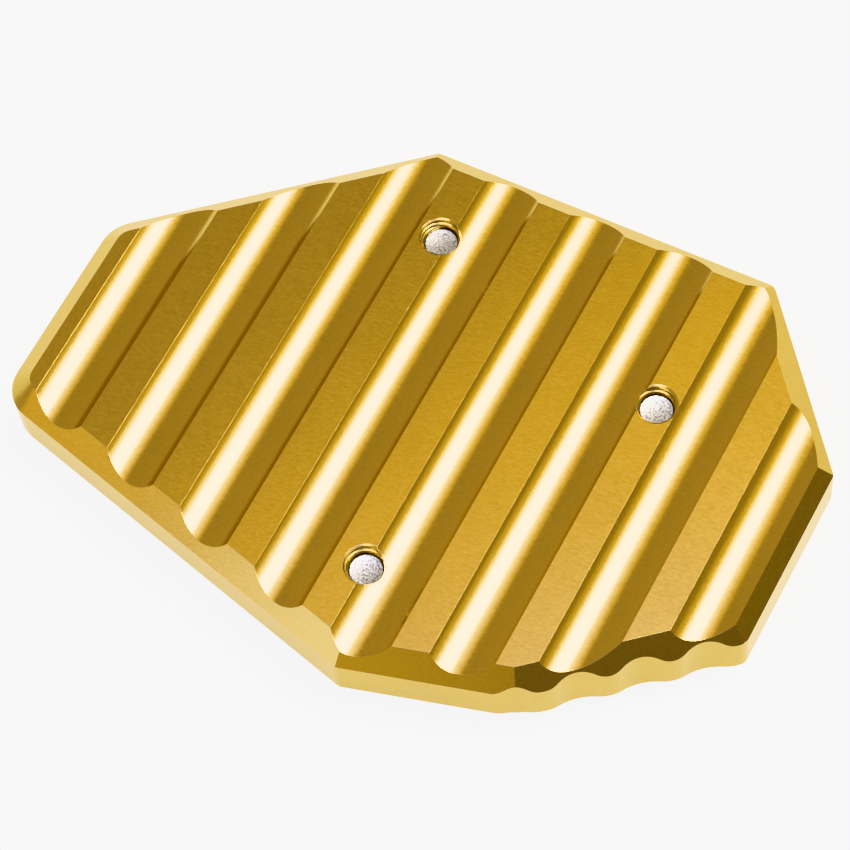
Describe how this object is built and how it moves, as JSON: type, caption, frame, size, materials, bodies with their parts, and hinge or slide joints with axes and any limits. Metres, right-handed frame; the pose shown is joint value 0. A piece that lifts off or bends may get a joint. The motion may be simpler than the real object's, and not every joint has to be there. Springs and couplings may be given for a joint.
{
  "type": "kickstand foot enlarger",
  "caption": "Grooved anodised plate that screws to a horseshoe clamp plate round a motorbike stand's foot, so the stand doesn't sink into soft ground.",
  "frame": {"origin": "middle of the base plate's outline, on the surface that the part lies on, which is the clamp plate's outer face", "axes": "+X across the grooves towards the scalloped end, +Y along the grooves, +Z out of the grooved face; the part lies as pictured, which is upside down from its use under a stand"},
  "size_m": [0.0968, 0.0692, 0.014],
  "materials": {
    "gold_anodised": "satin gold anodising on a milled surface",
    "screw_steel": "plain stainless steel, turned ends"
  },
  "bodies": {
    "root": {"base_plate": "gold_anodised", "clamp_plate": "gold_anodised", "clamp_screws": "screw_steel"}
  },
  "joints": []
}
